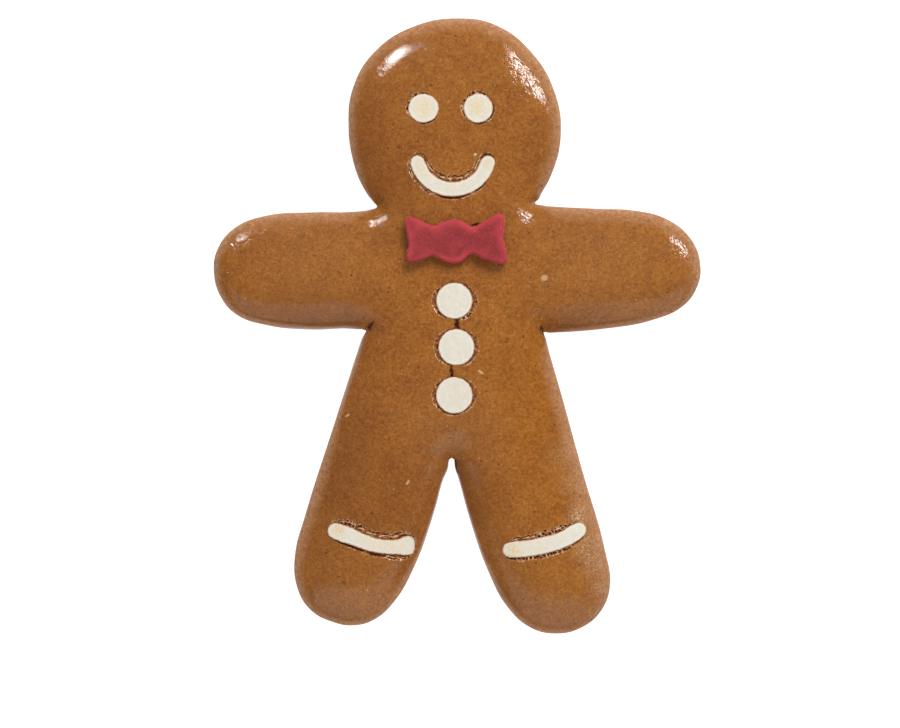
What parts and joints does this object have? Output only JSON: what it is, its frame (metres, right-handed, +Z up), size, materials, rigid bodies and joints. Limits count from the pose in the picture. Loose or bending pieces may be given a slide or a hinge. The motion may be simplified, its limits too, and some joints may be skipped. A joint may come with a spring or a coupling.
{
  "type": "gingerbread man cookie",
  "caption": "Flat baked gingerbread figure lying face up, with sugar-paste face, buttons and ankle bands set into a glazed top and a pink bow tie.",
  "frame": {"origin": "under the middle of the figure's outline, on the surface it lies on", "axes": "+Y towards the head, +X to the right for someone looking down at the face, +Z up out of the decorated face"},
  "size_m": [0.1188, 0.15, 0.0116],
  "materials": {
    "glazed_gingerbread": "glossy glazed crust, matt unglazed rim",
    "sugar_paste": "dry matt, faintly browned",
    "pink_fondant": "satin with fine sugar specks"
  },
  "bodies": {
    "root": {"gingerbread": "glazed_gingerbread", "eye_left": "sugar_paste", "eye_right": "sugar_paste", "smile": "sugar_paste", "button_top": "sugar_paste", "button_middle": "sugar_paste", "button_bottom": "sugar_paste", "ankle_band_left": "sugar_paste", "ankle_band_right": "sugar_paste", "bow_tie": "pink_fondant"}
  },
  "joints": []
}
